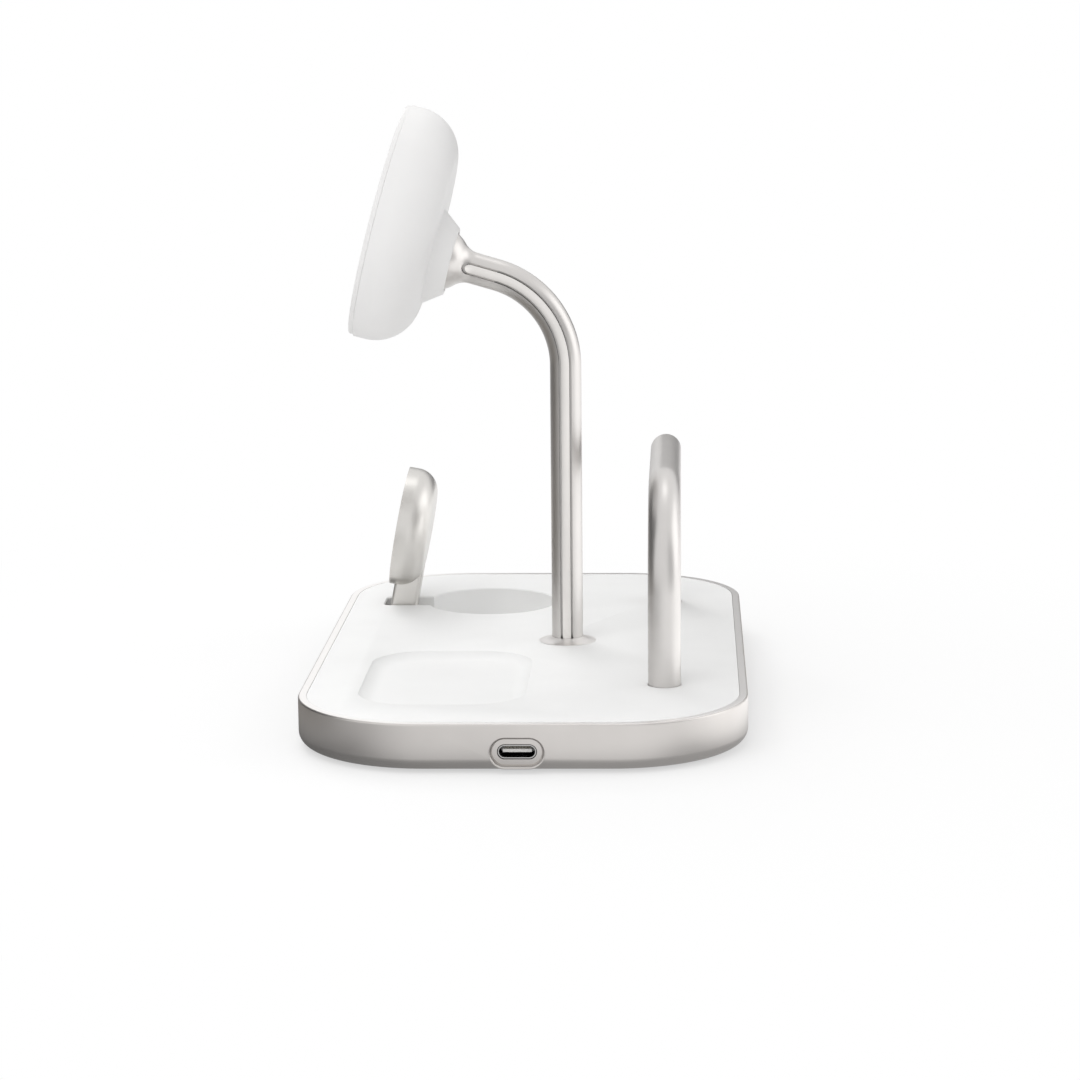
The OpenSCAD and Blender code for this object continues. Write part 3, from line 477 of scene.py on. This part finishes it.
def band(name, half, x0, x1, to_neck, tip_steps=24):
    """A flat band along the stem's path, round at its upper end, from x0 out to x1."""
    side = Vector((0, lean_cosine, lean_sine))
    tip = neck_start + to_neck * neck_way
    edge = [Vector((0, stem_y + half, groove_foot_z)), *bend_line(bend_radius + half)]
    edge += [tip + half * (side * math.cos(a) + neck_way * math.sin(a))
             for a in (math.pi * i / tip_steps for i in range(tip_steps + 1))]
    edge += [*reversed(bend_line(bend_radius - half)), Vector((0, stem_y - half, groove_foot_z))]
    return skin(name, [[(x, p.y, p.z) for p in edge] for x in (x0, x1)])


def in_groove(p, depth, past_tip=2):
    """Whether a point lies deeper than this inside the rod, between its foot and its flare."""
    along = (p - neck_start).dot(neck_way)
    if p.z < bend_start_z:
        aside = p.y - stem_y
    elif along < 0:
        aside = math.hypot(p.y - bend_centre.y, p.z - bend_centre.z) - bend_radius
    else:
        aside = (p - neck_start - along * neck_way).dot(Vector((0, lean_cosine, lean_sine)))
    return (math.hypot(p.x, aside) < rod_radius - depth and p.x > 0
            and p.z > groove_foot_z - 0.01 and along < groove_tip + past_tip)


groove_tip = flare_start + groove_past_flare
carve(stem, band("groove", groove_half, groove_floor_x, 2 * rod_radius, groove_tip))
break_edges(stem, 0.09)
# The groove's walls and floor are painted near-black as shade.
mark_cut_or_painted_shade(stem, lambda p, normal: in_groove(p, 0.35))
mount(stem, "stem", stem_metal)

# Strip in the stem's groove
# A thin strip of polished aluminium, pressed into the groove from the collar to the flare, with an even gap
# on both sides. It hides the channel of the lead.
strip_half, strip_sunk, strip_gap, strip_bed, strip_flare_steps = 1.05, 0.08, 0.55, 0.05, 10
strip_silver = (0.83, 0.805, 0.78)
strip_stations = stations[:bend_steps + 2 + strip_flare_steps]
strip = draw_rod("stem_inlay", [(p, r - strip_sunk) for p, r in strip_stations], stem_metal)
strip_tip = groove_tip - strip_gap / 2
carve(strip, band("strip", strip_half, groove_floor_x + strip_bed, 2 * rod_radius, strip_tip), "INTERSECT")
break_edges(strip, 0.09)
# The strip's sides, down in the groove, are painted near-black as shade.
mark_cut_or_painted_shade(strip, lambda p, normal: in_groove(p, 0.6))
mount(strip, "stem_strip",
      cut_or_painted_shade(blasted_metal("strip_metal", strip_silver, 0.38, 0.6), painted_groove_shade))

# Collar of the stem
# A small turned aluminium ring that lies on the plate, hollowed like a dish up to the rod. It hides the hole
# that the stem passes through.
collar_in, collar_out, collar_height, collar_edge = 4.05, 7.35, 1.25, 0.12
collar_silver = (0.82, 0.80, 0.785)


def turned(name, profile, place, steps=128):
    """A piece turned round its own Z axis from (radius, height) points, set in place by a matrix."""
    rings = []
    for radius, z in profile:
        rings.append([place @ Vector((radius * math.cos(a), radius * math.sin(a), z))
                      for a in (2 * math.pi * i / steps for i in range(steps))])
    return skin(name, rings, closed=profile[0][0] > 0)


span = collar_out - rod_radius
hollow = (span ** 2 + collar_height ** 2) / (2 * collar_height)
inner_turn = math.degrees(math.acos((collar_out - collar_in) / hollow))
collar_arc = arc(collar_out, hollow + collar_edge, hollow, 180 + inner_turn, 270, 16)
collar_profile = [(collar_in, 0), *[(r, min(z, collar_height)) for r, z in collar_arc], (collar_out, 0)]
collar = turned("stem_ring", collar_profile, Matrix.Translation((0, stem_y, base_top_z)))
break_edges(collar, 0.05)
mount(collar, "stem_collar", blasted_metal("collar_metal", collar_silver, 0.45))

# Tablet loop
# One aluminium rod, bent twice into an upside-down U. Both legs stand in steel sockets on the chassis and
# are held from below by a screw each.
loop_top_z, loop_bend = 57.8, 24
loop_silver = (0.67, 0.65, 0.633)
loop_line = [Vector((leg_x, leg_y, foot_z))]
for sign in (1, -1):
    centre = Vector((sign * (leg_x - loop_bend), leg_y, loop_top_z - loop_bend))
    turn = [math.pi / 2 * i / bend_steps for i in range(bend_steps + 1)]
    if sign < 0:
        turn.reverse()
    loop_line += [centre + loop_bend * Vector((sign * math.cos(a), 0, math.sin(a))) for a in turn]
loop_line.append(Vector((-leg_x, leg_y, foot_z)))
loop_metal = blasted_metal("loop_metal", loop_silver, 0.37, 0.7)
loop = draw_rod("tablet_rod", [(p, rod_radius) for p in loop_line], loop_metal)
break_edges(loop, 0.1)
mount(loop, "tablet_loop", loop_metal)

# Watch puck
# One aluminium casting, blasted like the frame: a round puck with a large round at its back, on a short flat
# arm that folds about a steel pin across the slot.
watch_lean, puck_radius, puck_thick, puck_round = 10.3, 16.2, 8.4, 6
axis_depth, puck_up, arm_half, arm_width, arm_edge = 4.85, 24.8, 3.5, 10, 1
face_radius, face_thick, puck_cavity, cavity_depth = 14.9, 1.2, 13.6, 4.4
pin_hole, seat_gap = 1.3, 0.1
puck_silver = (0.70, 0.683, 0.657)
watch_place = (Matrix.Translation((watch_x, hinge_y, hinge_z))
               @ Matrix.Rotation(math.radians(-watch_lean), 4, "X"))
puck_place = (watch_place @ Matrix.Translation((0, -axis_depth, puck_up))
              @ Matrix.Rotation(math.radians(-90), 4, "X"))
puck_arc = arc(puck_radius - puck_round, puck_thick - puck_round, puck_round, 90, 0, 20)
puck_profile = [(0, puck_thick), *puck_arc, (puck_radius, 0), (0, 0)]
puck = turned("watch_puck", puck_profile, puck_place)
arm_top = puck_up - puck_radius + puck_round
arm_rings = []
for side, steps in ((-1, range(6, -1, -1)), (1, range(7))):
    for turn in (math.radians(90 * step / 6) for step in steps):
        x = side * (arm_width / 2 - arm_edge * (1 - math.sin(turn)))
        depth = arm_half - arm_edge * (1 - math.cos(turn))
        outline = [*arc(0, 0, depth, 180, 360, 32), (depth, arm_top), (-depth, arm_top)]
        arm_rings.append([watch_place @ Vector((x, y, z)) for y, z in outline])
carve(puck, skin("arm", arm_rings), "UNION")
carve(puck, turned("recess", [(0, face_thick + cavity_depth), (puck_cavity, face_thick + cavity_depth),
                              (puck_cavity, face_thick), (face_radius + seat_gap, face_thick),
                              (face_radius + seat_gap, -1), (0, -1)], puck_place))
pin_place = watch_place @ Matrix.Rotation(math.radians(90), 4, "Y")
carve(puck, turned("pin_bore", [(0, -arm_width), (pin_hole, -arm_width), (pin_hole, arm_width),
                                (0, arm_width)], pin_place, 48))
break_edges(puck, 0.22, 3)
mount(puck, "watch_housing", blasted_metal("watch_metal", puck_silver, 0.36))

# Watch face
# A disc of soft white silicone, bonded into the front of the puck and hollowed like a shallow lens to take
# the round back of a watch.
hollow_radius, hollow_depth = 60, 0.7
hollow_rim = math.sqrt(hollow_radius ** 2 - (hollow_radius - hollow_depth) ** 2)
lens = [(hollow_rim * i / 24, hollow_depth - hollow_radius
         + math.sqrt(hollow_radius ** 2 - (hollow_rim * i / 24) ** 2)) for i in range(25)]
face = turned("watch_silicone", [*lens, (face_radius, 0), (face_radius, face_thick),
                                 (0, face_thick)], puck_place)
break_edges(face, 0.15, 3)


def silicone(name, colour):
    """Soft silicone: matte, with a faint sheen and a fine even skin."""
    material = moulding(name, colour, 0.6, 0.6, 0.008)
    material.node_tree.nodes["Principled BSDF"].inputs["Sheen Weight"].default_value = 0.15
    return material


pad_white = silicone("pad_white", (0.84, 0.84, 0.83))
mount(face, "watch_face", pad_white)

# Phone head
# A moulded shell with a large round at its back and a short boss that closes over the ball, so that the head
# tilts and turns on the stem.
head_radius, head_round, head_back_z, head_face_z = 30, 11.5, 1.3, 16.8
head_wall, head_drop, front_thick, head_lean = 1.8, 5.5, 1.3, 15
boss_base, boss_end, boss_end_z, boss_lip, boss_root, boss_draft = 11.35, 8.75, -3.6, 0.35, 0.8, 0.1
socket_radius, liner_radius, mouth_hole, lip_lean = 11.2, 8.7, 7.75, 69
socket_base_z, socket_top_z, room_z = head_back_z + 0.5, 9.9, -9
head_grey = (0.81, 0.803, 0.798)
head_place = Matrix.Translation(ball_centre) @ Matrix.Rotation(math.radians(90 - head_lean), 4, "X")
pad_place = head_place @ Matrix.Translation((0, head_drop, 0))
rim_z = head_face_z - front_thick
flat_r, round_z = head_radius - head_round, head_back_z + head_round
inner_round = head_round - head_wall
boss_reach = boss_base + 1.25
shell_profile = [(0, head_back_z), (flat_r - 3, head_back_z)]
shell_profile += arc(flat_r, round_z, head_round, 270, 360, 40)
shell_profile += [(head_radius, rim_z), (head_radius - head_wall, rim_z)]
shell_profile += arc(flat_r, round_z, inner_round, 360, 270, 24)
shell_profile.append((0, head_back_z + head_wall))
head_shell = turned("phone_shell", shell_profile, pad_place, 192)
root = arc(boss_reach, head_back_z - boss_root, boss_root, 90, 172, 8)
boss_profile = [(0, head_back_z + 1), (boss_reach, head_back_z + 1), *root,
                (boss_end + boss_draft, boss_end_z + boss_lip)]
boss_profile += arc(boss_end + boss_draft / 2 - boss_lip, boss_end_z + boss_lip, boss_lip, 0, -90, 8)
boss_profile += [(0, boss_end_z)]
carve(head_shell, turned("boss", boss_profile, head_place, 144), "UNION")
carve(head_shell, turned("socket", [(0, socket_base_z), (socket_radius, socket_base_z),
                                    (socket_radius, socket_top_z), (0, socket_top_z)], head_place), "UNION")
lip_z = -liner_radius * math.cos(math.radians(lip_lean))
sphere = [(math.sqrt(liner_radius ** 2 - z ** 2), z) for z in (lip_z * (1 - i / 12) for i in range(13))]
carve(head_shell, turned("ball_room", [(0, room_z), (mouth_hole, room_z), (mouth_hole, lip_z), *sphere,
                                       (liner_radius, head_face_z), (0, head_face_z)], head_place))
break_edges(head_shell, 0.2)
head_material = moulding("head_grey", head_grey, 0.5)
mount(head_shell, "head_shell", head_material)

# Front cover and pad of the head
# A flat moulded disc snaps into the front of the shell, a little smaller than it. A soft white silicone pad
# is bonded into a shallow seat in it.
cover_radius, pad_radius, pad_sunk, pad_proud = 29.6, 26, 0.5, 0.1
seat_z, seat_radius = head_face_z - pad_sunk, pad_radius + seat_gap
cover = turned("phone_cover", [(0, rim_z), (cover_radius, rim_z), (cover_radius, head_face_z),
                               (seat_radius, head_face_z), (seat_radius, seat_z), (0, seat_z)],
               pad_place, 192)
break_edges(cover, 0.25, 3)
mount(cover, "head_cover", head_material)
pad_top = head_face_z + pad_proud
pad = turned("phone_pad", [(0, seat_z), (pad_radius, seat_z), (pad_radius, pad_top), (0, pad_top)],
             pad_place, 192)
break_edges(pad, 0.2, 3)
mount(pad, "head_pad", pad_white)

# Pieces that keep their own shape
# Cover, feet, chassis, sockets, screws, coils, magnets, ferrites and boards are plain turned, stamped or
# moulded parts, so they only get their finishes here.


def winding(name):
    """Enamelled copper wire, wound round and round: fine rings and a warm gloss."""
    material = blasted_metal(name, (0.72, 0.40, 0.22), 0.35, 0.3)
    tree = material.node_tree
    wire = tree.nodes.new("ShaderNodeTexWave")
    wire.wave_type = "RINGS"
    wire.rings_direction = "SPHERICAL"
    wire.inputs["Scale"].default_value = 500
    bump = tree.nodes.new("ShaderNodeBump")
    bump.inputs["Distance"].default_value = 0.0002
    place = tree.nodes["Texture Coordinate"]
    tree.links.new(place.outputs["Object"], wire.inputs["Vector"])
    tree.links.new(wire.outputs["Fac"], bump.inputs["Height"])
    tree.links.new(bump.outputs["Normal"], tree.nodes["Principled BSDF"].inputs["Normal"])
    return material


slot_finish = {
    "steel": blasted_metal("plated_steel", (0.56, 0.56, 0.57), 0.32, 0.6),
    "cover_grey": moulding("cover_grey", (0.085, 0.085, 0.09), 0.6, 1.6),
    "rubber": moulding("foot_rubber", (0.02, 0.02, 0.021), 0.75, 1.8),
    "dark_plastic": moulding("cap_black", (0.015, 0.015, 0.016), 0.45),
    "liner": moulding("liner_natural", (0.68, 0.66, 0.6), 0.35, 0.4),
    "lead_sleeve": moulding("lead_white", (0.7, 0.7, 0.7), 0.45, 0.5),
    "board": moulding("board_green", (0.02, 0.11, 0.05), 0.3, 0.6, 0.08),
    "ferrite": moulding("ferrite_grey", (0.03, 0.03, 0.033), 0.5, 1.2, 0.05),
    "copper": winding("coil_copper")}
for row in frame["record"]["subparts"]:
    kept = nodes[row["node"]]
    if row["material_slot"] in slot_finish and not kept.hide_render:
        kept.data.materials.clear()
        kept.data.materials.append(slot_finish[row["material_slot"]])

# Studio
# A pale floor that fades into white. Soft boxes overhead, at the far left and in front light only what is
# matte, those at the right and on top also show in metal. Three cards, seen only in gloss, shade it.
floor_reach, floor_glow, foot_shade, foot_reach = 9000, 1.68, 0.38, 0.022
light_on_matte, light_seen = 0.55, 1.0
floor = new_piece("floor", [(-floor_reach, -floor_reach, 0), (floor_reach, -floor_reach, 0),
                            (floor_reach, floor_reach, 0), (-floor_reach, floor_reach, 0)], [(0, 1, 2, 3)])
floor_paint = bpy.data.materials.new("floor_paint")
floor_paint.use_nodes = True
paint = floor_paint.node_tree
matte = paint.nodes["Principled BSDF"]
matte.inputs["Base Color"].default_value = (0.88, 0.88, 0.88, 1)
matte.inputs["Roughness"].default_value = 0.9
matte.inputs["Specular IOR Level"].default_value = 0.1
join = paint.links.new
from_middle = paint.nodes.new("ShaderNodeTexCoord").outputs["Object"]
looked_at = paint.nodes.new("ShaderNodeLightPath")
white = paint.nodes.new("ShaderNodeEmission")


def vector_step(operation, source, other=None):
    """One step of vector maths in the floor's paint: its vector, or a length."""
    step = paint.nodes.new("ShaderNodeVectorMath")
    step.operation = operation
    join(source, step.inputs[0])
    if other is not None:
        step.inputs[1].default_value = other
    return step.outputs["Value" if operation == "LENGTH" else "Vector"]


def faded(nearest, farthest, rays, under, over):
    """Lays one shader over another, more with the distance from the stand, for the rays named."""
    fade = paint.nodes.new("ShaderNodeMapRange")
    fade.interpolation_type = "SMOOTHSTEP"
    fade.inputs["From Min"].default_value = nearest
    fade.inputs["From Max"].default_value = farthest
    share = paint.nodes.new("ShaderNodeMath")
    share.operation = "MULTIPLY"
    blend = paint.nodes.new("ShaderNodeMixShader")
    join(reach, fade.inputs["Value"])
    join(fade.outputs["Result"], share.inputs[0])
    join(rays, share.inputs[1])
    join(share.outputs[0], blend.inputs["Fac"])
    join(under, blend.inputs[1])
    join(over, blend.inputs[2])
    return blend.outputs["Shader"]


reach = vector_step("LENGTH", from_middle)
# Seen in gloss the floor glows as a painted reflection, darker at the left than at the right.
ways = paint.nodes.new("ShaderNodeSeparateXYZ")
join(vector_step("NORMALIZE", from_middle), ways.inputs["Vector"])
left_to_right = paint.nodes.new("ShaderNodeMapRange")
left_to_right.inputs["From Min"].default_value = -1
left_to_right.inputs["From Max"].default_value = 1
join(ways.outputs["Y"], left_to_right.inputs["Value"])
tones = paint.nodes.new("ShaderNodeValToRGB")
tones.color_ramp.elements[0].color = (0.17, 0.16, 0.148, 1)
tones.color_ramp.elements[1].color = (0.93, 0.93, 0.93, 1)
for where, tone in ((0.145, 0.25), (0.215, 0.31), (0.42, 0.555), (0.585, 0.66), (0.85, 0.77)):
    tones.color_ramp.elements.new(where).color = (tone, tone, tone, 1)
join(left_to_right.outputs["Result"], tones.inputs["Fac"])
base_corner_at = (base_length / 2 / 1000, base_width / 2 / 1000, 0)
past_edge = vector_step("SUBTRACT", vector_step("ABSOLUTE", from_middle), base_corner_at)
clearance = vector_step("LENGTH", vector_step("MAXIMUM", past_edge, (0, 0, 0)))
# Close round the base that glow is darker still: painted shade.
contact = paint.nodes.new("ShaderNodeMapRange")
contact.interpolation_type = "SMOOTHSTEP"
contact.inputs["From Max"].default_value = foot_reach
contact.inputs["To Min"].default_value = foot_shade * floor_glow
contact.inputs["To Max"].default_value = floor_glow
join(clearance, contact.inputs["Value"])
mirrored = paint.nodes.new("ShaderNodeEmission")
join(tones.outputs["Color"], mirrored.inputs["Color"])
join(contact.outputs["Result"], mirrored.inputs["Strength"])
surface = matte.outputs["BSDF"]
for nearest, farthest, rays, glow in ((-0.10, 0.24, "Is Camera Ray", white),
                                      (-0.20, -0.10, "Is Glossy Ray", mirrored),
                                      (0.10, 0.34, "Is Transmission Ray", white)):
    surface = faded(nearest, farthest, looked_at.outputs[rays], surface, glow.outputs["Emission"])
join(surface, paint.nodes["Material Output"].inputs["Surface"])
floor.data.materials.append(floor_paint)

world = bpy.data.worlds.new("studio")
bpy.context.scene.world = world
world.use_nodes = True
sky = world.node_tree
backdrop = sky.nodes["Background"]
backdrop.inputs["Color"].default_value = (1, 1, 1, 1)
ray = sky.nodes.new("ShaderNodeLightPath")
seen = sky.nodes.new("ShaderNodeMath")
seen.operation = "MAXIMUM"
seen_through = sky.nodes.new("ShaderNodeMath")
seen_through.operation = "MAXIMUM"
level = sky.nodes.new("ShaderNodeMapRange")
level.inputs["To Min"].default_value = light_on_matte
level.inputs["To Max"].default_value = light_seen
sky.links.new(ray.outputs["Is Camera Ray"], seen.inputs[0])
sky.links.new(ray.outputs["Is Glossy Ray"], seen.inputs[1])
sky.links.new(seen.outputs[0], seen_through.inputs[0])
sky.links.new(ray.outputs["Is Transmission Ray"], seen_through.inputs[1])
sky.links.new(seen_through.outputs[0], level.inputs["Value"])
sky.links.new(level.outputs["Result"], backdrop.inputs["Strength"])


def softbox(name, place, target, width, height, watts, in_gloss=True):
    """A soft rectangular lamp that looks at a target. Kept out of gloss, it lights only what is matte."""
    lamp_data = bpy.data.lights.new(name, "AREA")
    lamp_data.shape = "RECTANGLE"
    lamp_data.size, lamp_data.size_y = width, height
    lamp_data.energy = watts
    lamp = bpy.data.objects.new(name, lamp_data)
    lamp.location = place
    lamp.rotation_euler = (Vector(target) - Vector(place)).to_track_quat("-Z", "Y").to_euler()
    lamp.visible_glossy = in_gloss
    bpy.context.scene.collection.objects.link(lamp)


def card(name, corners, radiance):
    """A flat card beside the stand that shows only in its gloss."""
    flag = new_piece(name, corners, [(0, 1, 2, 3)])
    glow = bpy.data.materials.new(name + "_glow")
    glow.use_nodes = True
    tree = glow.node_tree
    tree.nodes.remove(tree.nodes["Principled BSDF"])
    light = tree.nodes.new("ShaderNodeEmission")
    light.inputs["Strength"].default_value = radiance
    tree.links.new(light.outputs["Emission"], tree.nodes["Material Output"].inputs["Surface"])
    flag.data.materials.append(glow)
    flag.visible_camera = flag.visible_diffuse = flag.visible_shadow = False


softbox("overhead", (0.10, -0.32, 1.0), (0, 0, 0), 1.1, 1.1, 3.1, False)
softbox("far_left", (-0.52, -0.26, 0.58), (0, 0, 0), 0.35, 0.35, 1.6, False)
softbox("key", (0.50, -0.18, 0.42), (0, 0, 0.04), 0.6, 0.6, 1.4, False)
softbox("right", (-0.05, 1.0, 0.45), (0, 0, 0.05), 0.9, 0.8, 1.8)
softbox("top_light", (-0.32, 0.05, 0.98), (0, 0, 0.05), 0.36, 0.30, 0.36)
card("left_card", [(-900, -500, 0), (150, -600, 0), (150, -600, 700), (-900, -500, 700)], 0.12)
card("right_card", [(900, 500, 0), (300, 1300, 0), (300, 1300, 900), (900, 500, 900)], 0.62)
card("back_card", [(-1400, -110, 0), (-1400, 1000, 0), (-1400, 1000, 500), (-1400, -110, 500)], 0.17)

bpy.context.scene.view_settings.view_transform = "Standard"
